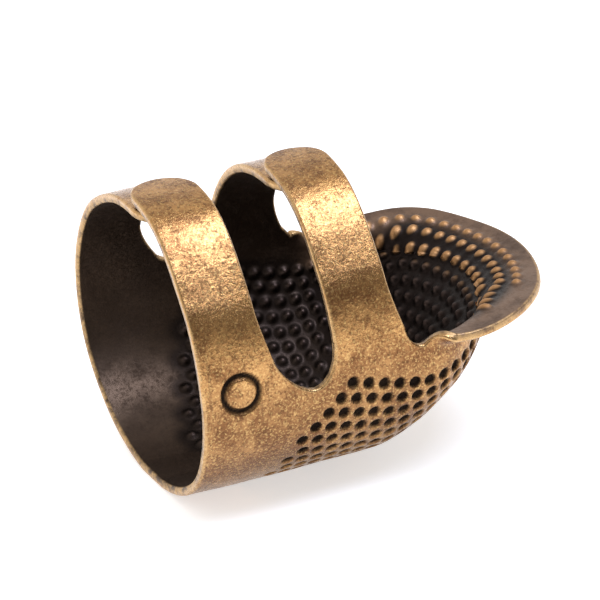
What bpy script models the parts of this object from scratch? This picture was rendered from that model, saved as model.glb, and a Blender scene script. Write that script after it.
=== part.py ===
"""Adjustable open-nail thimble, formed from one sheet of brass.

+X runs along the finger towards its tip, the near side is -Y and the nail side is +Z.
The origin is on the resting plane, midway between the entry rim and the tip of the lip.

The sheet is described on its flat blank: u is the distance from the entry rim, and arc is the
distance around the finger from the middle of the pad, positive on the near side. Forming takes
a point of the blank to its place in space, and Solidify then gives the sheet its thickness.
"""
import math

import bmesh
import bpy
import numpy
from mathutils import Vector

# Driving dimensions, in metres
SHEET = 0.0005
GAP = 0.0003

HALF_WIDTH = 0.0090
HEIGHT = 0.0163
WIDEST_LEVEL = 0.0075
SECTION_POWER = 2.15

SCOOP_START = 0.0128
SCOOP_LENGTH = 0.0078
SCOOP_POWER = 1.7
BELLY_FLAT = 0.0105
BELLY_SLOPE = 0.72
BELLY_BEND = 0.002
BELLY_TOP = 0.0065
REST_DEPTH = 0.00006

LIP_WIDTH = 0.0029
LIP_BEND = 0.0012
LIP_ANGLE = math.radians(78)
LIP_START = math.radians(16)
LIP_FULL = math.radians(26)

REAR_STRAP = (0.0, 0.00375)
FRONT_STRAP = (0.0077, 0.01125)
STRAP_ROOT = 0.0152
NOTCH_LEVEL = 0.01385
NEAR_TAB_END = 0.0279
FAR_TAB_END = 0.0299
LIFT_START = 0.0190
LIFT_FULL = 0.0245

# How finely the sheet is divided
WALL_STATIONS = 9
EDGE_STATIONS = 6
WALL_SHARE = 0.78
SCOOP_RIBS = 32
SIDE_RIBS = 0.34
TAB_STATIONS = 16
TAB_LANES = 6

# The half section around the finger, from the middle of the pad to the middle of the top
ANGLES = numpy.linspace(0.0, math.pi, 361)


def rounded(value):
    """A sine or cosine, pushed outwards so that the section is a little squarer than an oval."""
    return numpy.sign(value) * numpy.abs(value) ** (2.0 / SECTION_POWER)


def section(angle):
    """Half breadth and height of the ring's section at an angle from the pad's middle."""
    breadth = HALF_WIDTH * rounded(numpy.sin(angle))
    below = WIDEST_LEVEL * (1.0 - rounded(numpy.cos(angle)))
    above = WIDEST_LEVEL - (HEIGHT - WIDEST_LEVEL) * rounded(numpy.cos(angle))
    return breadth, numpy.where(numpy.cos(angle) > 0.0, below, above)


SECTION_BREADTH, SECTION_HEIGHT = section(ANGLES)
STEPS = numpy.hypot(numpy.diff(SECTION_BREADTH), numpy.diff(SECTION_HEIGHT))
ARCS = numpy.concatenate([[0.0], numpy.cumsum(STEPS)])
QUARTER = float(numpy.interp(math.pi / 2, ANGLES, ARCS))


def smooth(value):
    value = min(max(value, 0.0), 1.0)
    return value * value * (3.0 - 2.0 * value)


def raised(distance, y, z):
    """Lift the belly towards the fingertip, and flatten the strip that it rests on."""
    run = max(distance - BELLY_FLAT, 0.0)
    rise = BELLY_SLOPE * (math.hypot(run, BELLY_BEND) - BELLY_BEND)
    height = z + rise * max(1.0 - z / BELLY_TOP, 0.0)
    return Vector((ENTRY + distance, y, max(height, REST_DEPTH) - REST_DEPTH))


def ring_point(u, arc, lift=0.0):
    """Place on the ring part of the sheet, lift away from its outer face."""
    breadth, height = section(numpy.interp(abs(arc), ARCS, ANGLES))
    reach = 0.0001
    ends = section(numpy.interp([abs(arc) - reach, abs(arc) + reach], ARCS, ANGLES))
    outward = Vector((ends[1][1] - ends[1][0], ends[0][0] - ends[0][1])).normalized()
    breadth += lift * outward.x
    height += lift * outward.y
    return raised(u, -math.copysign(float(breadth), arc), float(height))


def lip_offset(edge, turn):
    """Distance out and up, edge metres above the widest level, turn radians from the side."""
    flared = smooth(turn / LIP_START)
    out = up = 0.0
    pieces = 12
    for piece in range(pieces):
        along = edge * (piece + 0.5) / pieces
        tilt = flared * LIP_ANGLE * smooth(along / LIP_BEND)
        tilt -= (1.0 - flared) * along / HALF_WIDTH
        out += math.sin(tilt) * edge / pieces
        up += math.cos(tilt) * edge / pieces
    return out, up


FRONT = SCOOP_START + SCOOP_LENGTH + lip_offset(LIP_WIDTH, math.pi / 2)[0]
ENTRY = -FRONT / 2


def scoop_point(turn, share):
    """Place on the scoop: turn runs 0 to pi around its front, share 0 to 1 from pole to edge."""
    beside = math.pi / 2 - turn
    plan = abs(math.cos(beside) / SCOOP_LENGTH) ** SCOOP_POWER
    plan = (plan + abs(math.sin(beside) / HALF_WIDTH) ** SCOOP_POWER) ** (-1.0 / SCOOP_POWER)
    from_side = min(turn, math.pi - turn)
    root = NOTCH_LEVEL - QUARTER
    edge = root + (LIP_WIDTH - root) * smooth(from_side / LIP_FULL)
    arc = share * (QUARTER + edge)
    breadth, height = section(numpy.interp(min(arc, QUARTER), ARCS, ANGLES))
    out, up = lip_offset(max(arc - QUARTER, 0.0), from_side)
    radius = plan * float(breadth) / HALF_WIDTH + out
    distance = SCOOP_START + radius * math.cos(beside)
    return raised(distance, -radius * math.sin(beside), float(height) + up)


def arch(start, end, level, depth, ribs):
    """Positions of ribs across a round-bottomed gap in the edge, with the edge's level at each."""
    middle, half = (start + end) / 2, (end - start) / 2
    turns = [math.pi * rib / ribs for rib in range(1, ribs)]
    return [(middle - half * math.cos(t), level - depth * math.sin(t)) for t in turns]


def ring_ribs():
    """Every rib of the ring part: its distance u, and the arc at which the sheet ends there."""
    slot = (FRONT_STRAP[0] - REAR_STRAP[1]) / 2
    ribs = [(u, STRAP_ROOT) for u in numpy.linspace(*REAR_STRAP, 4)]
    ribs += arch(REAR_STRAP[1], FRONT_STRAP[0], STRAP_ROOT, slot, 10)
    ribs += [(u, STRAP_ROOT) for u in numpy.linspace(*FRONT_STRAP, 4)]
    notch = SCOOP_START - FRONT_STRAP[1]
    half = arch(FRONT_STRAP[1], SCOOP_START + notch, STRAP_ROOT, STRAP_ROOT - NOTCH_LEVEL, 8)
    return ribs + half[:3]


def formed_sheet(name, lanes, stations, place, origin, material):
    """Form a flat grid of lanes by stations, and give it the sheet's thickness inwards."""
    bpy.ops.mesh.primitive_grid_add(x_subdivisions=lanes, y_subdivisions=stations, size=1.0)
    sheet = bpy.context.active_object
    sheet.name = name
    form = bmesh.new()
    form.from_mesh(sheet.data)
    for vertex in form.verts:
        vertex.co = place(vertex.co.x + 0.5, vertex.co.y + 0.5)
    bmesh.ops.remove_doubles(form, verts=form.verts, dist=0.000005)
    centre = Vector((0.0, 0.0, WIDEST_LEVEL))
    outwards = 0.0
    for face in form.faces:
        from_axis = face.calc_center_median() - centre
        from_axis.x = 0.0
        outwards += face.normal.dot(from_axis)
    if outwards < 0.0:
        bmesh.ops.reverse_faces(form, faces=form.faces)
    bmesh.ops.translate(form, verts=form.verts, vec=-origin)
    form.to_mesh(sheet.data)
    form.free()
    sheet.location = origin
    sheet.data.shade_smooth()
    sheet.data.set_sharp_from_angle(angle=math.radians(40))
    sheet.data.materials.append(material)
    wall = sheet.modifiers.new("Sheet thickness", "SOLIDIFY")
    wall.thickness = SHEET
    wall.offset = -1.0
    wall.use_even_offset = True
    return sheet


def spaced(outward):
    """Share of the way from the spine to the edge: stations are closer together near the edge."""
    station = outward * (WALL_STATIONS + EDGE_STATIONS)
    if station < WALL_STATIONS:
        return WALL_SHARE * station / WALL_STATIONS
    return WALL_SHARE + (1.0 - WALL_SHARE) * (station - WALL_STATIONS) / EDGE_STATIONS


def pad_shell(material):
    """The pad, its scoop and its lip: ribs run from the spine out to the edge, all the way round."""
    near = ring_ribs()
    shares = [rib / SCOOP_RIBS for rib in range(SCOOP_RIBS + 1)]
    turns = [math.pi * share - SIDE_RIBS * math.sin(2 * math.pi * share) for share in shares]
    scoop = [("scoop", turn) for turn in turns]
    ribs = [("near", rib) for rib in near] + scoop + [("far", rib) for rib in reversed(near)]

    def place(across, outward):
        side, rib = ribs[round(across * (len(ribs) - 1))]
        if side == "scoop":
            return scoop_point(rib, spaced(outward))
        return ring_point(rib[0], spaced(outward) * rib[1] * (1.0 if side == "near" else -1.0))

    stations = WALL_STATIONS + EDGE_STATIONS
    return formed_sheet("pad_shell", len(ribs) - 1, stations, place, Vector((0, 0, 0)), material)


def strap(name, span, side, tab_end, lifted, material):
    """A strap from its root to a round-ended tab; a lifted one passes outside its partner."""
    start, end = span
    half = (end - start) / 2
    root = STRAP_ROOT + GAP
    pivot = ring_point((start + end) / 2, side * (STRAP_ROOT + GAP / 2), -SHEET / 2)

    def place(across, along):
        sideways = 2.0 * across - 1.0
        reach = tab_end - half * (1.0 - math.sqrt(max(1.0 - sideways * sideways, 0.0)))
        arc = root + (reach - root) * along
        lift = (SHEET + GAP) * smooth((arc - LIFT_START) / (LIFT_FULL - LIFT_START))
        u = start + half * (1.0 + sideways)
        return past_top(u, side * arc, lift if lifted else 0.0)

    return formed_sheet(name, TAB_LANES, TAB_STATIONS, place, pivot, material)


def past_top(u, arc, lift):
    """As ring_point, for a tab that may run over the top and down the other side."""
    whole = float(ARCS[-1])
    if abs(arc) > whole:
        arc = math.copysign(2 * whole - abs(arc), -arc)
    return ring_point(u, arc, lift)


def brass(name, colour, roughness):
    material = bpy.data.materials.new(name)
    material.use_nodes = True
    shader = material.node_tree.nodes["Principled BSDF"]
    shader.inputs["Base Color"].default_value = (*colour, 1.0)
    shader.inputs["Metallic"].default_value = 1.0
    shader.inputs["Roughness"].default_value = roughness
    return material


def clear_scene():
    for old in list(bpy.data.objects):
        bpy.data.objects.remove(old)


def build():
    clear_scene()
    pieces = [pad_shell(brass("Pad shell brass", (0.24, 0.13, 0.055), 0.38))]
    for band, span in (("rear", REAR_STRAP), ("front", FRONT_STRAP)):
        near = brass(f"{band} near strap brass", (0.36, 0.21, 0.08), 0.32)
        far = brass(f"{band} far strap brass", (0.22, 0.12, 0.055), 0.40)
        pieces.append(strap(f"{band}_strap_near", span, 1.0, NEAR_TAB_END, True, near))
        pieces.append(strap(f"{band}_strap_far", span, -1.0, FAR_TAB_END, False, far))
    thimble = bpy.data.collections.new("Thimble")
    bpy.context.scene.collection.children.link(thimble)
    for piece in pieces:
        for holder in list(piece.users_collection):
            holder.objects.unlink(piece)
        thimble.objects.link(piece)


build()
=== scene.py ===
"""Adjustable open-nail thimble in antiqued brass: the visible sheet, its finish and the studio.

The sheet is described on its flat blank, as in the CAD part: u is the distance from the entry
rim and arc is the distance around the finger from the middle of the pad, positive on the near
side (-Y). Lengths are in millimetres until a mesh is made.
"""
import math

import bpy
import numpy as np
from mathutils import Matrix, Vector, kdtree


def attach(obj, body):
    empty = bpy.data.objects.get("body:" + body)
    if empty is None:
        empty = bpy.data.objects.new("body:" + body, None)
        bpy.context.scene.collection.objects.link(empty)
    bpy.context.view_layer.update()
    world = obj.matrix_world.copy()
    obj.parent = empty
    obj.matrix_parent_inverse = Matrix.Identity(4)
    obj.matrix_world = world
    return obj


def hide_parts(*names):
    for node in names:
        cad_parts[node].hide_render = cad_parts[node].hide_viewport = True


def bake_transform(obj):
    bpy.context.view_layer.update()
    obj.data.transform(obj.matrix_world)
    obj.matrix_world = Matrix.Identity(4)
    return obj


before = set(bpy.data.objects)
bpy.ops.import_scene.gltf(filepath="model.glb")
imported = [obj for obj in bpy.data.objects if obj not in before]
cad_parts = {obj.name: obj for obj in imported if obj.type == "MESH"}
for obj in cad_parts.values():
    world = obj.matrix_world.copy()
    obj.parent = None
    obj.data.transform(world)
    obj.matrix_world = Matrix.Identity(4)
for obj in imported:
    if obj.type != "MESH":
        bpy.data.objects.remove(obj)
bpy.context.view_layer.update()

MM = 0.001

# Driving dimensions. They refine the CAD part's to follow the photo more closely.
SHEET = 0.5
GAP = 0.3

# The ring's section is an oval, squarer on the near side. The far side spreads at the entry rim,
# and above the widest level it is pinched at the front strap.
HALF_WIDTH = 9.0
HEIGHT = 16.3
WIDEST_LEVEL = 7.5
SECTION_POWER = 2.15
FAR_POWER = 2.0
REAR_SPREAD = 0.05
SPREAD_RUN = 7.0
FRONT_PINCH = 0.022
PINCH_START = 5.0
PINCH_RUN = 4.0
PINCH_RISE = 4.0

# The belly rises towards the fingertip and has a narrow flat strip to rest on
BELLY_FLAT = 10.5
BELLY_SLOPE = 0.72
BELLY_BEND = 2.0
BELLY_TOP = 7.5
BELLY_EASE = 0.03
REST_DEPTH = 0.06
REST_EASE = 0.01

# The scoop's plan, and how far its wall leans out into a ramp towards the front
SCOOP_START = 12.8
SCOOP_LENGTH = 7.1
SCOOP_POWER = 1.85
RAMP_POWER = 2.6
LEAN_START = math.radians(20)
LEAN_FULL = math.radians(70)
FRONT_LEAN = math.radians(52)

# The lip. Angles called turns are measured round the scoop from one of its sides.
LIP_WIDTH = 3.15
LIP_BEND = 1.2
LIP_ANGLE = math.radians(77)
LIP_START = math.radians(9)
LIP_FULL = math.radians(60)
LIP_EASE = 2.0
LIP_PIECES = 24
FAR_LIP_BEGIN = math.radians(4)
FAR_LIP_HASTE = 1.15
NEAR_DROOP = math.radians(14)
DROOP_FULL = math.radians(14)
DROOP_END = math.radians(68)
DROOP_FADE = math.radians(48)

# The front notches: the near one is round and ends in a small ear, the far one is a straight dip
NOTCH_LEVEL = 13.95
EAR_HEIGHT = 0.2
EAR_TURN = math.radians(5)
EAR_SPREAD = math.radians(3.5)
FAR_NOTCH = 14.4
FAR_NOTCH_LOW = 13.5
FAR_DIP_TURN = math.radians(9)

# For each side (1 near, -1 far): where each strap starts and ends along the finger, and how far
# it widens on either side down at its root
STRAPS = {
    1.0: {"rear": ((0.0, 3.75), (0.0, 0.45)), "front": ((7.72, 11.3), (0.0, 0.5))},
    -1.0: {"rear": ((0.0, 3.6), (0.0, 1.08)), "front": ((7.75, 11.5), (0.93, 0.72))},
}
# For each side: the slot's lowest place, its depth, and how square its two halves are
SLOTS = {1.0: (6.35, 2.25, 1.5, 2.0), -1.0: (5.75, 0.6, 1.4, 1.4)}
STRAP_ROOT = 15.2
FLARE_RUN = 2.7
FLARE_POWER = 1.6
NEAR_TAB_END = 27.9
FAR_TAB_END = 29.9
LIFT_START = 19.0
LIFT_FULL = 24.5

# How finely the visible sheet is divided, and how its edges are rounded
STEP = 0.095
EDGE_STEPS = (0.0, 0.012, 0.03, 0.055, 0.085, 0.12, 0.165)
EDGE_RADIUS = 0.15
EDGE_HALF = 0.10
PAD_REACH = 14.0
# Along the finger, ribs are RIB_STEP steps apart, and never closer than RIB_APART
RIB_STEP = 1.1
RIB_APART = 0.0015
SLOT_RIBS = {1.0: 30, -1.0: 14}
NOTCH_RIBS = 22
SCOOP_RIBS = 270
SIDE_RIBS = 0.30
LINE_POINTS = 240
LINE_GAP = 0.02
# The lowest part of a strap's sides, towards which the shell's edges are rounded too
ROOT_REACH = 1.5

# Punched field. At the sides it is a staggered lattice on the blank, alike on both sides of the
# pad's middle. Round the front it is rows that follow the lip.
FIELD_TOP = (8.55, 12.8)
ALONG_ROW = (0.90, -0.25)
NEXT_ROW = (0.18, -1.0)
FIELD_ROWS = (-6, 14)
ROW_PLACES = 26
STEEP_ROWS = 4
UPPER_ROW_START = 6
# For each side: how far back towards the entry rim the rows above the first may reach
FIELD_FULL = {1.0: 18.0, -1.0: 14.3}
PAST_MIDDLE = -0.45
LIP_MARGIN = 1.5
FRONT_TURNS = (math.radians(55), math.radians(168))
FRONT_RIBS = 181
FRONT_ROWS = 9
FRONT_MARGIN = 1.25
FRONT_STEP = 0.93
DIMPLES_APART = 0.72
DIMPLE_RADIUS = 0.39
DIMPLE_DEPTH = 0.24
BUMP_RADIUS = 0.47
BUMP_HEIGHT = 0.24

# Stamped ring on the rear band
MARK = (2.2, 13.75)
MARK_RADIUS = 1.0
MARK_FLAT = 0.08
MARK_WIDTH = 0.14
MARK_DEPTH = 0.20
MARK_BULGE = 0.05

WAVE_HEIGHT = 0.035
# Further than any edge or dimple matters
FAR_OFF = 99.0

ANGLES = np.linspace(0.0, math.pi, 1441)


def rounded(value, power):
    return np.sign(value) * np.abs(value) ** (2.0 / power)


def section(angle, power=SECTION_POWER):
    """Half breadth and height of the section; the far side is a little rounder than the near."""
    breadth = HALF_WIDTH * rounded(np.sin(angle), power)
    cosine = rounded(np.cos(angle), power)
    below = WIDEST_LEVEL * (1.0 - cosine)
    above = WIDEST_LEVEL - (HEIGHT - WIDEST_LEVEL) * cosine
    return breadth, np.where(cosine > 0.0, below, above)


B0, H0 = section(ANGLES)
ARCS = np.concatenate([[0.0], np.cumsum(np.hypot(np.diff(B0), np.diff(H0)))])
QUARTER = float(np.interp(math.pi / 2, ANGLES, ARCS))
WHOLE = float(ARCS[-1])


def smooth(value):
    value = np.clip(value, 0.0, 1.0)
    return value * value * (3.0 - 2.0 * value)


def rising(value, start, run):
    """0 up to start, and smoothly to 1 over run beyond it."""
    return smooth((value - start) / run)


def lengths_along(line):
    """Distance along a line of points from its start to each of them."""
    return np.concatenate([[0.0], np.cumsum(np.linalg.norm(np.diff(line, axis=0), axis=1))])


def raised(distance, y, z):
    """Lift the belly towards the fingertip, and flatten the strip that it rests on.

    The far side stands a little wide at the entry rim and a little narrow at the front strap."""
    upper = rising(z, WIDEST_LEVEL, PINCH_RISE)
    spread = REAR_SPREAD * (1.0 - smooth(distance / SPREAD_RUN))
    spread = spread - FRONT_PINCH * rising(distance, PINCH_START, PINCH_RUN) * upper
    y = np.where(y > 0.0, y * (1.0 + spread), y)
    run = np.maximum(distance - BELLY_FLAT, 0.0)
    rise = BELLY_SLOPE * (np.hypot(run, BELLY_BEND) - BELLY_BEND)
    below = 1.0 - z / BELLY_TOP
    height = z + rise * 0.5 * (below + np.sqrt(below * below + BELLY_EASE ** 2))
    rest = height - REST_DEPTH
    height = 0.5 * (rest + np.sqrt(rest * rest + REST_EASE ** 2))
    return np.stack([ENTRY + distance, y, height], -1)


def ring_point(u, arc, lift=0.0):
    """Place on the ring part of the sheet; a tab may run over the top and down the other side."""
    u, arc = np.broadcast_arrays(np.asarray(u, float), np.asarray(arc, float))
    over = np.abs(arc) > WHOLE
    arc = np.where(over, -np.sign(arc) * (2 * WHOLE - np.abs(arc)), arc)
    power = np.where(arc > 0.0, SECTION_POWER, FAR_POWER)
    reach = 0.1
    breadth, height = section(np.interp(np.abs(arc), ARCS, ANGLES), power)
    b1, h1 = section(np.interp(np.abs(arc) - reach, ARCS, ANGLES), power)
    b2, h2 = section(np.interp(np.abs(arc) + reach, ARCS, ANGLES), power)
    run = np.hypot(h2 - h1, b2 - b1)
    breadth = breadth + lift * (h2 - h1) / run
    height = height - lift * (b2 - b1) / run
    return raised(u, -np.copysign(breadth, arc), height)


def frontness(turn):
    """0 at the scoop's sides, whose wall is upright, to 1 at its front, which is a ramp."""
    return rising(turn, LEAN_START, LEAN_FULL - LEAN_START)


def lip_offset(edge, turn, droop=0.0):
    """Distance out and up at edge beyond the widest level, turn radians from the side.

    The tilt from upright is summed in short pieces; droop is added to the lip's own angle."""
    flared = smooth(turn / LIP_START)
    leaning = FRONT_LEAN * frontness(turn)
    full = LIP_ANGLE + droop
    out = np.zeros(np.broadcast(edge, turn).shape)
    up = np.zeros_like(out)
    for piece in range(LIP_PIECES):
        along = edge * (piece + 0.5) / LIP_PIECES
        tilt = flared * (leaning + (full - leaning) * smooth(along / LIP_BEND))
        tilt = tilt - (1.0 - flared) * along / HALF_WIDTH
        out += np.sin(tilt) * edge / LIP_PIECES
        up += np.cos(tilt) * edge / LIP_PIECES
    return out, up


FRONT = SCOOP_START + SCOOP_LENGTH + float(lip_offset(LIP_WIDTH, math.pi / 2)[0])
ENTRY = -FRONT / 2


def plan_radius(beside):
    """Distance from the scoop's pole to its wall, beside radians from straight ahead."""
    plan = np.abs(np.cos(beside) / SCOOP_LENGTH) ** SCOOP_POWER
    return (plan + np.abs(np.sin(beside) / HALF_WIDTH) ** SCOOP_POWER) ** (-1.0 / SCOOP_POWER)


def scoop_edge(turn):
    """Arc at which the sheet ends, turn radians round the scoop from its near side."""
    near = turn < math.pi / 2
    from_side = np.minimum(turn, math.pi - turn)
    dip = smooth(from_side / FAR_DIP_TURN)
    root = np.where(near, NOTCH_LEVEL, FAR_NOTCH + (FAR_NOTCH_LOW - FAR_NOTCH) * dip)
    begin = np.where(near, 0.0, FAR_LIP_BEGIN)
    share = np.clip((from_side - begin) / (LIP_FULL - begin), 0.0, 1.0)
    rise = np.where(near, 1.0 - (1.0 - share) ** LIP_EASE, smooth(share * FAR_LIP_HASTE))
    ear = EAR_HEIGHT * np.exp(-((from_side - EAR_TURN) / EAR_SPREAD) ** 2) * near
    return root + (QUARTER + LIP_WIDTH - root) * rise + ear


def scoop_point(turn, arc):
    """Place on the scoop: turn runs 0 to pi round its front, arc from its pole to its edge."""
    beside = math.pi / 2 - turn
    power = SECTION_POWER + (FAR_POWER - SECTION_POWER) * smooth(turn / math.pi)
    breadth, height = section(np.interp(np.minimum(arc, QUARTER), ARCS, ANGLES), power)
    from_side = np.minimum(turn, math.pi - turn)
    ramp = WIDEST_LEVEL * (breadth / HALF_WIDTH) ** RAMP_POWER
    height = height + (ramp - height) * frontness(from_side)
    droop = NEAR_DROOP * smooth(turn / DROOP_FULL)
    droop = droop * smooth((DROOP_END - turn) / DROOP_FADE)
    out, up = lip_offset(np.maximum(arc - QUARTER, 0.0), from_side, droop)
    radius = plan_radius(beside) * breadth / HALF_WIDTH + out
    distance = SCOOP_START + radius * np.cos(beside)
    return raised(distance, -radius * np.sin(beside), height + up)


def rib(turn):
    """A line up the scoop's wall from its pole to its edge: arcs, places, lengths to each."""
    arcs = np.linspace(0.0, float(scoop_edge(turn)), LINE_POINTS)
    line = scoop_point(np.full(LINE_POINTS, turn), arcs)
    return arcs, line, lengths_along(line)


def on_line(line, runs, along):
    """Places at lengths along a line of points, runs being the lengths to those points."""
    return np.array([np.interp(along, runs, line[:, axis]) for axis in range(3)]).T


def blank_point(u, v):
    """Place of a point of the flat blank, and on the scoop its room to the lip and its turn."""
    if u <= SCOOP_START:
        return ring_point(u, v), FAR_OFF, 0.0
    reach = float(section(np.interp(min(abs(v), QUARTER), ARCS, ANGLES))[0])
    turn = math.pi / 2 - math.atan2(math.copysign(reach, v), u - SCOOP_START)
    _, line, runs = rib(turn)
    side_arcs, _, side_runs = rib(0.0 if v > 0.0 else math.pi)
    along = float(np.interp(math.hypot(u - SCOOP_START, v), side_arcs, side_runs))
    return on_line(line, runs, along), float(runs[-1]) - along, turn


def front_rows():
    """Centres of the dimples round the front of the scoop, in rows that follow the lip."""
    ribs = [rib(turn)[1:] for turn in np.linspace(*FRONT_TURNS, FRONT_RIBS)]
    centres = []
    for row in range(FRONT_ROWS):
        down = FRONT_MARGIN + row * FRONT_STEP
        line = np.array([on_line(places, runs, runs[-1] - down) for places, runs in ribs])
        runs = lengths_along(line)
        along = np.arange(0.5 * (row % 2), runs[-1] / FRONT_STEP) * FRONT_STEP
        centres += list(on_line(line, runs, along))
    return centres


def first_place(row):
    """Where a row of the lattice begins: this draws the punched field's slanting rear edge."""
    if row < 0:
        return UPPER_ROW_START
    return -row if row <= STEEP_ROWS else -STEEP_ROWS - (row - STEEP_ROWS) // 2


def punched_field():
    """Centres of the dimples, in space: the sides' lattice, the front's rows, then what is left
    of the lattice wherever it has room between them."""
    sure, spare = [], []
    for side in (1.0, -1.0):
        for row in range(*FIELD_ROWS):
            for along in range(first_place(row), ROW_PLACES):
                u = FIELD_TOP[0] + along * ALONG_ROW[0] + row * NEXT_ROW[0]
                v = FIELD_TOP[1] + along * ALONG_ROW[1] + row * NEXT_ROW[1]
                if v < PAST_MIDDLE or (row < 0 and u < FIELD_FULL[side]):
                    continue
                place, room, turn = blank_point(u, side * v)
                if room >= LIP_MARGIN:
                    (sure if turn < FRONT_TURNS[0] else spare).append(place)
    centres = []
    for place in sure + front_rows() + spare:
        if all(np.linalg.norm(place - other) > DIMPLES_APART for other in centres):
            centres.append(place)
    return np.array(centres)


def strap_limits(side, band, arc):
    """Where a strap starts and ends along the finger, at an arc above its root."""
    span, flare = STRAPS[side][band]
    left = np.clip(1.0 - (arc - STRAP_ROOT) / FLARE_RUN, 0.0, 1.0) ** FLARE_POWER
    return span[0] - flare[0] * left, span[1] + flare[1] * left


def edge_level(u, side):
    """Arc at which the ring part of the sheet ends, and whether that edge is free."""
    rear = strap_limits(side, "rear", STRAP_ROOT)
    front = strap_limits(side, "front", STRAP_ROOT)
    bottom, depth, left_power, right_power = SLOTS[side]
    left = u < bottom
    share = np.abs(u - bottom) / np.where(left, bottom - rear[1], front[0] - bottom)
    power = np.where(left, left_power, right_power)
    slot = STRAP_ROOT - depth * np.clip(1.0 - share ** power, 0.0, 1.0) ** (1.0 / power)
    run = (SCOOP_START - u) / (SCOOP_START - front[1])
    low = NOTCH_LEVEL if side > 0.0 else FAR_NOTCH
    shape = np.sqrt(np.clip(1.0 - run ** 2, 0.0, 1.0)) if side > 0.0 else 1.0 - run
    notch = STRAP_ROOT - (STRAP_ROOT - low) * shape
    in_slot = (u > rear[1]) & (u < front[0])
    in_notch = u > front[1]
    level = np.where(in_slot, slot, np.where(in_notch, notch, STRAP_ROOT))
    return level, in_slot | in_notch


def lanes(width):
    """Shares of the way across a band, closer together beside its free edges."""
    near = np.array(EDGE_STEPS) / width
    count = int(round((1.0 - 2.0 * near[-1]) * width / STEP))
    middle = np.linspace(near[-1], 1.0 - near[-1], count + 1)[1:-1]
    return np.concatenate([near, middle, 1.0 - near[::-1]])


def rib_places():
    """Positions of the ribs along the ring part, closer together at the starts of its edges."""
    places = [np.array(EDGE_STEPS)]
    for side in (1.0, -1.0):
        rear = strap_limits(side, "rear", STRAP_ROOT)
        front = strap_limits(side, "front", STRAP_ROOT)
        bottom = SLOTS[side][0]
        quarter = np.cos(np.linspace(0.0, np.pi / 2, SLOT_RIBS[side]))
        places.append(bottom - (bottom - rear[1]) * quarter)
        places.append(bottom + (front[0] - bottom) * quarter)
        run = SCOOP_START - front[1]
        places.append(SCOOP_START - run * np.cos(np.linspace(0.0, np.pi / 2, NOTCH_RIBS)))
        for u in (rear[1], front[1]):
            places.append(u - np.array(EDGE_STEPS))
        places.append(front[0] + np.array(EDGE_STEPS))
    places.append(np.arange(0.2, SCOOP_START - 0.05, STEP * RIB_STEP))
    places = np.unique(np.round(np.concatenate(places), 5))
    keep = np.concatenate([[True], np.diff(places) > RIB_APART])
    places = places[keep]
    return places[places < SCOOP_START - 0.03]


def stations(edge, count):
    """Distances along a rib from the spine to its end at edge, closer together at the end."""
    body = (edge - EDGE_STEPS[-1]) * np.arange(count) / count
    return np.concatenate([body, edge - np.array(EDGE_STEPS)[::-1]])


def nearest(points, targets):
    """Distance from each point to the nearest target."""
    if not len(targets):
        return np.full(len(points), FAR_OFF)
    tree = kdtree.KDTree(len(targets))
    for index, target in enumerate(targets):
        tree.insert(target, index)
    tree.balance()
    return np.array([tree.find(point)[2] for point in points])


def waves(p):
    """Slight unevenness of sheet formed by hand."""
    x, y, z = p[:, 0], p[:, 1], p[:, 2]
    w = np.sin(0.55 * x + 0.8 * z + 1.1) * np.sin(0.5 * y - 0.3 * z + 0.4)
    w = w + 0.5 * np.sin(1.3 * x - 0.9 * y + 2.0) * np.sin(1.1 * z + 0.6 * x)
    return WAVE_HEIGHT * w


def facing_out(points, quads):
    """The points' normals and the quads, both turned away from the finger's axis."""
    a, b, c, d = quads.T
    normal = np.zeros_like(points)
    cross = np.cross(points[c] - points[a], points[d] - points[b])
    for corner in (a, b, c, d):
        np.add.at(normal, corner, cross)
    length = np.linalg.norm(normal, axis=1)
    normal /= np.maximum(length, 1e-12)[:, None]
    from_axis = points - np.array([0.0, 0.0, WIDEST_LEVEL])
    from_axis[:, 0] = 0.0
    if np.sum(normal * from_axis) < 0.0:
        return -normal, quads[:, ::-1]
    return normal, quads


def without_repeats(quads):
    """The quads as faces, with those that share a corner twice closed up to triangles."""
    faces = []
    for quad in quads.tolist():
        face = [quad[0]]
        for corner in quad[1:]:
            if corner != face[-1] and corner != quad[0]:
                face.append(corner)
        if len(face) > 2:
            faces.append(face)
    return faces


def open_sides(faces):
    """The directed sides that only one face has."""
    sides = {}
    for face in faces:
        for here, there in zip(face, face[1:] + face[:1]):
            if (there, here) in sides:
                del sides[(there, here)]
            else:
                sides[(here, there)] = True
    return list(sides)


def sharpen(mesh, pairs, count):
    """Mark the edges between these pairs of points as sharp, on both skins."""
    ends = np.array([list(pair) for pair in pairs])
    ends = np.sort(np.concatenate([ends, ends + count]), axis=1)
    edges = np.zeros(len(mesh.edges) * 2, dtype=np.int32)
    mesh.edges.foreach_get("vertices", edges)
    edges = np.sort(edges.reshape(-1, 2), axis=1).astype(np.int64)
    big = 2 * count
    sharp = np.isin(edges[:, 0] * big + edges[:, 1], ends[:, 0] * big + ends[:, 1])
    mesh.attributes.new("sharp_edge", "BOOLEAN", "EDGE").data.foreach_set("value", sharp)


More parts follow.
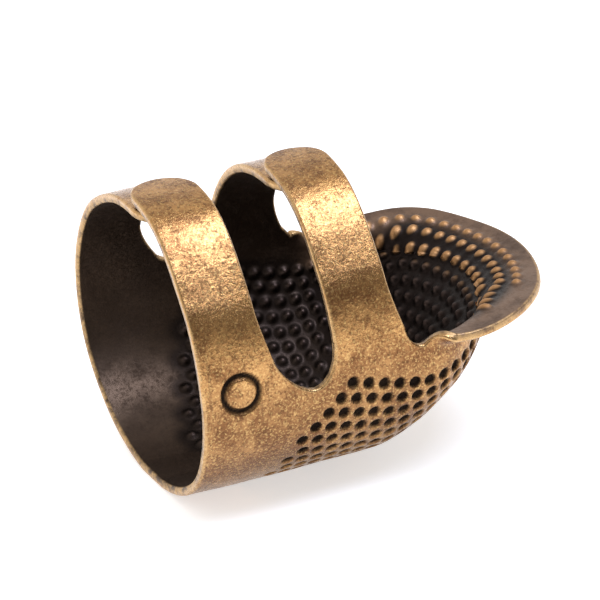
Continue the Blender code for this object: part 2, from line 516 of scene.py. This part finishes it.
def sheet_mesh(name, points, index, edges, centres, mark):
    """A closed sheet from its outer face: points, and a grid of indices into them.

    Attributes say where each point lies, for the brass to be coloured by."""
    quads = np.stack([index[:-1, :-1].ravel(), index[1:, :-1].ravel(),
                      index[1:, 1:].ravel(), index[:-1, 1:].ravel()], 1)
    normal, quads = facing_out(points, quads)

    border = nearest(points, edges)
    t = np.clip(border / EDGE_RADIUS, 0.0, 1.0)
    half = EDGE_HALF + (SHEET / 2 - EDGE_HALF) * np.sqrt(1.0 - (1.0 - t) ** 2)
    to_dimple = nearest(points, centres)
    pit = 1.0 - rising(to_dimple / DIMPLE_RADIUS, 0.5, 0.5)
    bump = np.cos(np.clip(to_dimple / BUMP_RADIUS, 0.0, 1.0) * np.pi / 2) ** 2
    groove = np.abs(np.linalg.norm(points - mark, axis=1) - MARK_RADIUS)
    groove = 1.0 - rising(groove, MARK_FLAT, MARK_WIDTH)
    wave = waves(points)
    calm = smooth(border / 0.2)
    outer = wave - (SHEET / 2 - half) - DIMPLE_DEPTH * pit - MARK_DEPTH * groove
    inner = wave - (SHEET / 2 + half) - BUMP_HEIGHT * bump - MARK_BULGE * groove * calm
    skins = np.concatenate([points + normal * outer[:, None], points + normal * inner[:, None]])

    count = len(points)
    faces = without_repeats(quads)
    sides = open_sides(faces)
    rim = [[there, here, here + count, there + count] for here, there in sides]
    inside = [[corner + count for corner in reversed(face)] for face in faces]
    mesh = bpy.data.meshes.new(name)
    mesh.from_pydata((skins * MM).tolist(), [], faces + inside + rim)

    def attribute(label, outside, within):
        values = np.concatenate([outside, within]).astype(np.float32)
        mesh.attributes.new(label, "FLOAT", "POINT").data.foreach_set("value", values)

    x, z = points[:, 0], points[:, 2]
    none, ones = np.zeros(count), np.ones(count)
    scoop = rising(x, 1.0, 2.0)
    stain = 1.0 - rising(to_dimple / DIMPLE_RADIUS, 0.70, 0.30)
    edge = 1.0 - smooth(border / 0.3)
    # Some masks place painted light: bump and tips the highlights on the bump tips, field the
    # shade around them, scoop and low a darkening that is partly patina and partly painted shade
    attribute("inside", none, ones)
    attribute("pit", np.maximum(stain, groove), none)
    attribute("bump", none, bump)
    attribute("scoop", none, scoop)
    attribute("tips", none, scoop * rising(z, 6.7, 0.9))
    attribute("brim", none, scoop * (1.0 - rising(border, 1.1, 0.9)))
    attribute("field", none, 1.0 - rising(to_dimple, 0.5, 0.8))
    attribute("low", 1.0 - rising(z, 6.5, 3.0), none)
    attribute("top", rising(z, 14.2, 1.2), none)
    attribute("rim", edge, edge)
    mesh.shade_smooth()
    # Sides away from a free edge are where pad and strap meet, and stay sharp
    joins = [(here, there) for here, there in sides if border[here] + border[there] > 0.02]
    if joins:
        sharpen(mesh, joins, count)
    piece = bpy.data.objects.new(name, mesh)
    bpy.context.scene.collection.objects.link(piece)
    return piece


def pad_grid():
    """Ribs of the pad: near ring, round the scoop, far ring, each from the spine to its edge.

    Also gives the lines of its free edges."""
    u = rib_places()
    count = int(PAD_REACH / STEP)
    rows, free = {}, []
    for side in (1.0, -1.0):
        level, is_free = edge_level(u, side)
        arcs = np.stack([stations(e, count) for e in level])
        rows[side] = ring_point(u[:, None], side * arcs)
        edge = rows[side][:, -1]
        starts = np.flatnonzero(np.diff(is_free.astype(int)) == 1)
        for start in starts:
            stop = start + 1
            while stop < len(u) and is_free[stop]:
                stop += 1
            free.append(edge[start:stop + 1])
        free.append(rows[side][0])
    share = np.linspace(0.0, 1.0, SCOOP_RIBS)
    turns = np.pi * share - SIDE_RIBS * np.sin(2 * np.pi * share)
    scoop = np.stack([stations(e, count) for e in scoop_edge(turns)])
    middle = scoop_point(turns[:, None], scoop)
    free.append(middle[:, -1])
    points = np.concatenate([rows[1.0], middle, rows[-1.0][::-1]])
    ribs, across = points.shape[:2]
    index = np.arange(ribs * across).reshape(ribs, across)
    index[len(u):len(u) + len(middle), 0] = index[len(u), 0]
    index[len(u) + len(middle):, 0] = index[:len(u), 0][::-1]
    return points.reshape(-1, 3), index, free


def strap_grid(side, band, tab_end, lifted):
    """A strap from its root to its round-ended tab, and the lines of its sides and end."""
    (start, end), _ = STRAPS[side][band]
    half = (end - start) / 2
    share = lanes(end - start)
    sideways = 2.0 * share - 1.0
    reach = tab_end - half * (1.0 - np.sqrt(np.maximum(1.0 - sideways ** 2, 0.0)))
    count = int((tab_end - STRAP_ROOT) / STEP)
    arc = np.stack([STRAP_ROOT + stations(r - STRAP_ROOT, count) for r in reach])
    lift = rising(arc, LIFT_START, LIFT_FULL - LIFT_START) * (SHEET + GAP) * lifted
    low, high = strap_limits(side, band, arc)
    points = ring_point(low + (high - low) * share[:, None], side * arc, lift)
    index = np.arange(arc.size).reshape(arc.shape)
    outline = np.concatenate([points[0], points[1:-1, -1], points[-1, ::-1]])
    return points.reshape(-1, 3), index, outline


def used(points, index):
    """Drop the points that no grid cell uses."""
    keep = np.unique(index)
    remap = np.zeros(len(points), int)
    remap[keep] = np.arange(len(keep))
    return points[keep], remap[index]


def dense(points):
    """A line through the points, resampled closely."""
    out = []
    for here, there in zip(points[:-1], points[1:]):
        n = max(int(np.linalg.norm(there - here) / LINE_GAP), 1)
        out.append(here + (there - here) * np.arange(n)[:, None] / n)
    return np.concatenate(out + [points[-1:]])


# Finishes ------------------------------------------------------------------------------------

# Outside, from bare metal to the black in the pits
BARE = (0.66, 0.42, 0.19)
GOLD = (0.80, 0.52, 0.20)
TAN = (0.500, 0.262, 0.098)
BROWN = (0.235, 0.105, 0.040)
SPECK = (0.12, 0.055, 0.024)
SCRATCH = (0.12, 0.055, 0.026)
# Darker brown low on the body: partly brown patina, partly painted shade
LOW_PATINA_AND_SHADE = (0.10, 0.045, 0.026)
PIT_BLACK = (0.012, 0.009, 0.008)
# Inside: the wall, the backs of the dimples, the scoop, and the lip's upper face
# Painted highlight: light copper on the tips of the bumps high up in the scoop
COPPER_HIGHLIGHT = (0.46, 0.245, 0.105)
BRIM_TAN = (0.21, 0.13, 0.085)
BRIM_BROWN = (0.12, 0.075, 0.052)
WALL_BROWN = (0.100, 0.066, 0.045)
WALL_DARK = (0.070, 0.046, 0.032)
# Painted highlight on the tips of the bumps inside
BUMP_HIGHLIGHT = (0.105, 0.070, 0.058)
# Painted shade in the field around the bumps
FIELD_SHADE = (0.022, 0.016, 0.014)
# Near black deep in the scoop: partly black patina, partly painted shade
SCOOP_PATINA_AND_SHADE = (0.020, 0.014, 0.012)


class Nodes:
    """Shorthand for building the node tree of a material or of the world."""

    def __init__(self, owner, coordinates):
        owner.use_nodes = True
        self.tree = owner.node_tree
        self.place = self.add("ShaderNodeTexCoord").outputs[coordinates]

    def add(self, kind, **settings):
        node = self.tree.nodes.new(kind)
        for key, value in settings.items():
            setattr(node, key, value)
        return node

    def put(self, socket, value):
        if isinstance(value, bpy.types.NodeSocket):
            self.tree.links.new(value, socket)
        elif isinstance(value, tuple) and len(value) == 3 and socket.type == "RGBA":
            socket.default_value = (*value, 1.0)
        else:
            socket.default_value = value

    def maths(self, operation, a, b, clamp=False):
        node = self.add("ShaderNodeMath", operation=operation, use_clamp=clamp)
        self.put(node.inputs[0], a)
        self.put(node.inputs[1], b)
        return node.outputs[0]

    def total(self, *terms, start=None):
        """Sum of sockets, each times its weight, from a starting number if there is one."""
        result = start
        for socket, weight in terms:
            part = self.maths("MULTIPLY", socket, weight)
            result = part if result is None else self.maths("ADD", result, part)
        return result

    def mix(self, factor, a, b):
        node = self.add("ShaderNodeMix", data_type="RGBA")
        self.put(node.inputs["Factor"], factor)
        self.put(node.inputs[6], a)
        self.put(node.inputs[7], b)
        return node.outputs[2]

    def cover(self, colour, mask, strength, coat):
        """The colour, with up to strength of a coat over it where the mask is 1."""
        return self.mix(self.maths("MULTIPLY", mask, strength), colour, coat)

    def attribute(self, name):
        return self.add("ShaderNodeAttribute", attribute_name=name).outputs["Fac"]

    def noise(self, scale, detail, roughness=0.55, stretch=None, distortion=0.0):
        vector = self.place
        if stretch:
            mapping = self.add("ShaderNodeMapping")
            self.put(mapping.inputs["Vector"], vector)
            mapping.inputs["Scale"].default_value = stretch
            vector = mapping.outputs[0]
        node = self.add("ShaderNodeTexNoise")
        self.put(node.inputs["Vector"], vector)
        node.inputs["Scale"].default_value = scale
        node.inputs["Detail"].default_value = detail
        node.inputs["Roughness"].default_value = roughness
        node.inputs["Distortion"].default_value = distortion
        return node.outputs["Fac"]

    def between(self, value, low, high):
        """0 at low, and smoothly to 1 at high."""
        node = self.add("ShaderNodeMapRange", interpolation_type="SMOOTHSTEP")
        self.put(node.inputs["Value"], value)
        node.inputs["From Min"].default_value = low
        node.inputs["From Max"].default_value = high
        return node.outputs[0]


def brass(name):
    """Antiqued brass: brown patina, worn back to metal along its edges, near black inside.

    It also paints light: highlights on the tips of the bumps inside, shade around them, and
    shade deep in the scoop and low on the body, which is partly darker patina.
    """
    material = bpy.data.materials.new(name)
    n = Nodes(material, "Object")
    labels = ("inside", "pit", "bump", "scoop", "tips", "brim", "field", "low", "rim", "top")
    inside, pit, bump, scoop, tips, brim, field, low, rim, top = map(n.attribute, labels)

    cloud = n.noise(420.0, 4.0, 0.6)
    mottle = n.noise(1500.0, 8.0, 0.72, distortion=0.3)
    grain = n.noise(5200.0, 6.0, 0.7)
    fine = n.noise(8000.0, 3.0, 0.6)
    scratch = n.noise(1900.0, 3.0, 0.6, stretch=(1.0, 0.09, 0.09))
    tone = n.total((cloud, 0.6), (mottle, 0.4), (top, 0.01), (low, 0.02))
    patches = n.between(tone, 0.42, 0.62)
    speck = n.between(n.total((grain, 0.75), (mottle, 0.25)), 0.48, 0.60)
    worn = n.maths("MULTIPLY", n.between(rim, 0.35, 0.95), n.between(mottle, 0.35, 0.60))

    outside = n.mix(patches, TAN, BROWN)
    # Darker brown towards the bottom: partly brown patina, partly painted shade
    outside = n.cover(outside, low, 0.30, LOW_PATINA_AND_SHADE)
    outside = n.cover(outside, speck, 0.72, SPECK)
    outside = n.cover(outside, n.between(scratch, 0.63, 0.70), 0.5, SCRATCH)
    outside = n.cover(outside, n.between(fine, 0.50, 0.66), 0.45, GOLD)
    outside = n.cover(outside, pit, 0.97, PIT_BLACK)

    within = n.mix(patches, WALL_BROWN, WALL_DARK)
    # Painted shade in the field around the bumps
    within = n.cover(within, field, 0.8, FIELD_SHADE)
    # Near black deep in the scoop: partly black patina, partly painted shade
    within = n.mix(scoop, within, SCOOP_PATINA_AND_SHADE)
    # Painted highlight: lighter brown on the tips of the bumps
    within = n.cover(within, n.between(bump, 0.35, 1.0), 0.55, BUMP_HIGHLIGHT)
    # The lip's upper face stays lighter brown, outside the scoop's painted shade
    within = n.mix(brim, within, n.mix(patches, BRIM_TAN, BRIM_BROWN))
    # Painted highlight: light copper on the tips of the bumps high up in the scoop
    within = n.mix(n.maths("MULTIPLY", tips, n.between(bump, 0.15, 0.75)), within, COPPER_HIGHLIGHT)

    shader = n.tree.nodes["Principled BSDF"].inputs
    colour = n.mix(inside, outside, within)
    n.put(shader["Base Color"], n.cover(colour, worn, 0.75, BARE))
    shader["Metallic"].default_value = 1.0

    rough = n.total((patches, 0.08), (speck, 0.14), (pit, 0.45), start=0.16)
    rough = n.maths("ADD", rough, n.maths("MULTIPLY", inside, 0.26), clamp=True)
    n.put(shader["Roughness"], rough)

    relief = n.total((mottle, 0.8), (grain, 0.5), (scratch, 0.5))
    calmer_inside = n.maths("SUBTRACT", 1.0, n.maths("MULTIPLY", inside, 0.7))
    uneven = n.add("ShaderNodeBump")
    uneven.inputs["Strength"].default_value = 0.55
    uneven.inputs["Distance"].default_value = 0.00008
    n.put(uneven.inputs["Height"], n.maths("MULTIPLY", relief, calmer_inside))
    n.put(shader["Normal"], uneven.outputs[0])
    return material


# The pieces ----------------------------------------------------------------------------------

mark = ring_point(*MARK)
centres = punched_field()
no_dimples = np.zeros((0, 3))
bands = {}
for band in ("rear", "front"):
    for side_name, side, tab_end in (("near", 1.0, NEAR_TAB_END), ("far", -1.0, FAR_TAB_END)):
        bands[(band, side_name)] = strap_grid(side, band, tab_end, side_name == "near")

points, index, free = pad_grid()
points, index = used(points, index)
root_share = ROOT_REACH / (NEAR_TAB_END - STRAP_ROOT)
for strap_points, strap_index, _ in bands.values():
    low = strap_index[:, :int(root_share * strap_index.shape[1])]
    free += [strap_points[low[0]], strap_points[low[-1]]]
pad_free = np.concatenate([dense(line) for line in free])
pad = sheet_mesh("thimble_pad", points, index, pad_free, centres, mark)
pad.data.materials.append(brass("Antiqued brass pad"))
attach(pad, "shell")
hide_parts("pad_shell")

finishes = {"near": brass("Antiqued brass near straps"),
            "far": brass("Antiqued brass far straps")}
for (band, side_name), (points, index, outline) in bands.items():
    side = 1.0 if side_name == "near" else -1.0
    # The first three of the shell's lines on a strap's side include its slot and its notch, so
    # that the rounding of its edges runs on into theirs
    beside = [line for line in free if (line[0, 1] < 0.0) == (side > 0.0)][:3]
    edges = np.concatenate([dense(line) for line in [outline] + beside])
    strap = sheet_mesh(f"{band}_band_{side_name}", points, index, edges, no_dimples, mark)
    strap.data.materials.append(finishes[side_name])
    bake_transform(strap)
    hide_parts(f"{band}_strap_{side_name}")

# Studio --------------------------------------------------------------------------------------

# A white table that gives a little light of its own, which keeps it white and its shadow faint
FLOOR_HALF = 1.2
FLOOR_GLOW = 0.56
corners = [(x * FLOOR_HALF, y * FLOOR_HALF, 0) for x, y in ((-1, -1), (1, -1), (1, 1), (-1, 1))]
floor_mesh = bpy.data.meshes.new("floor")
floor_mesh.from_pydata(corners, [], [(0, 1, 2, 3)])
floor = bpy.data.objects.new("floor", floor_mesh)
bpy.context.scene.collection.objects.link(floor)
paper = bpy.data.materials.new("White paper")
n = Nodes(paper, "Object")
tone = n.between(n.noise(40.0, 2.0), 0.2, 0.8)
shader = n.tree.nodes["Principled BSDF"].inputs
n.put(shader["Base Color"], n.mix(tone, (0.90, 0.90, 0.905), (0.92, 0.92, 0.92)))
shader["Roughness"].default_value = 0.9
shader["Emission Color"].default_value = (1.0, 1.0, 1.0, 1.0)
shader["Emission Strength"].default_value = FLOOR_GLOW
shader["Specular IOR Level"].default_value = 0.1
floor_mesh.materials.append(paper)

# The sky is white, but for the unlit room in front of the table and a dimmer patch behind it.
# Each of these fades in across its side, up from its foot and down from its top.
SKY = 1.15
ROOM_WAY = (0.35, -0.93)
ROOM_SIDE, ROOM_FOOT, ROOM_TOP = (-0.20, 0.25), (0.08, 0.24), (0.94, 0.80)
BACK_SIDE, BACK_FOOT, BACK_TOP = (0.1, -0.4), (0.42, 0.68), (0.97, 0.88)
ROOM_DIM = 0.72
BACK_DIM = 0.30
world = bpy.data.worlds.new("Studio")
bpy.context.scene.world = world
sky = Nodes(world, "Generated")
direction = sky.add("ShaderNodeSeparateXYZ")
sky.put(direction.inputs[0], sky.place)
x_part, y_part, z_part = direction.outputs
ahead = sky.total((y_part, ROOM_WAY[1]), (x_part, ROOM_WAY[0]))


def dim_patch(side, foot, top):
    patch = sky.between(ahead, *side)
    for ends in (foot, top):
        patch = sky.maths("MULTIPLY", patch, sky.between(z_part, *ends))
    return patch


room = dim_patch(ROOM_SIDE, ROOM_FOOT, ROOM_TOP)
behind = dim_patch(BACK_SIDE, BACK_FOOT, BACK_TOP)
dimmed = sky.total((room, ROOM_DIM), (behind, BACK_DIM))
background = sky.tree.nodes["Background"].inputs
background["Color"].default_value = (1.0, 1.0, 1.0, 1.0)
sky.put(background["Strength"],
        sky.maths("MULTIPLY", sky.maths("SUBTRACT", 1.0, dimmed), SKY))


def heading(azimuth, elevation):
    """Direction from the object: azimuth runs from the near side round towards the fingertip."""
    return Vector((math.sin(azimuth) * math.cos(elevation),
                   -math.cos(azimuth) * math.cos(elevation), math.sin(elevation)))


LAMP_AZIMUTH = math.radians(55)
LAMP_ELEVATION = math.radians(64)
LAMP_DISTANCE = 0.45
LAMP_SIDE = 0.20
LAMP_POWER = 1.12
LAMP_COLOUR = (0.90, 1.01, 1.30)
light = bpy.data.lights.new("Overhead", "AREA")
light.shape = "RECTANGLE"
light.size = light.size_y = LAMP_SIDE
light.energy = LAMP_POWER
light.color = LAMP_COLOUR
lamp = bpy.data.objects.new("Overhead", light)
bpy.context.scene.collection.objects.link(lamp)
away = heading(LAMP_AZIMUTH, LAMP_ELEVATION)
lamp.location = away * LAMP_DISTANCE
lamp.rotation_euler = away.to_track_quat("Z", "Y").to_euler()

# Camera --------------------------------------------------------------------------------------

# Solved so that the object, at its size here, lies where it does in the photo. AIM is in metres,
# from the entry rim on the resting plane.
AZIMUTH = math.radians(-22.249)
ELEVATION = math.radians(23.175)
ROLL = math.radians(-4.542)
DISTANCE = 0.225
AIM = (0.00955, 0.0, 0.00834)
back = heading(AZIMUTH, ELEVATION)
right = Vector((math.cos(AZIMUTH), math.sin(AZIMUTH), 0.0))
upward = back.cross(right)
across = right * math.cos(ROLL) + upward * math.sin(ROLL)
above = upward * math.cos(ROLL) - right * math.sin(ROLL)
lens = bpy.data.cameras.new("Camera")
lens.lens = 247.77
lens.sensor_width = 36.0
lens.clip_start = 0.001
camera = bpy.data.objects.new("Camera", lens)
bpy.context.scene.collection.objects.link(camera)
placing = Matrix((across, above, back)).transposed().to_4x4()
placing.translation = Vector((AIM[0] + ENTRY * MM, AIM[1], AIM[2])) + back * DISTANCE
camera.matrix_world = placing
bpy.context.scene.camera = camera
bpy.context.scene.view_settings.view_transform = "Standard"
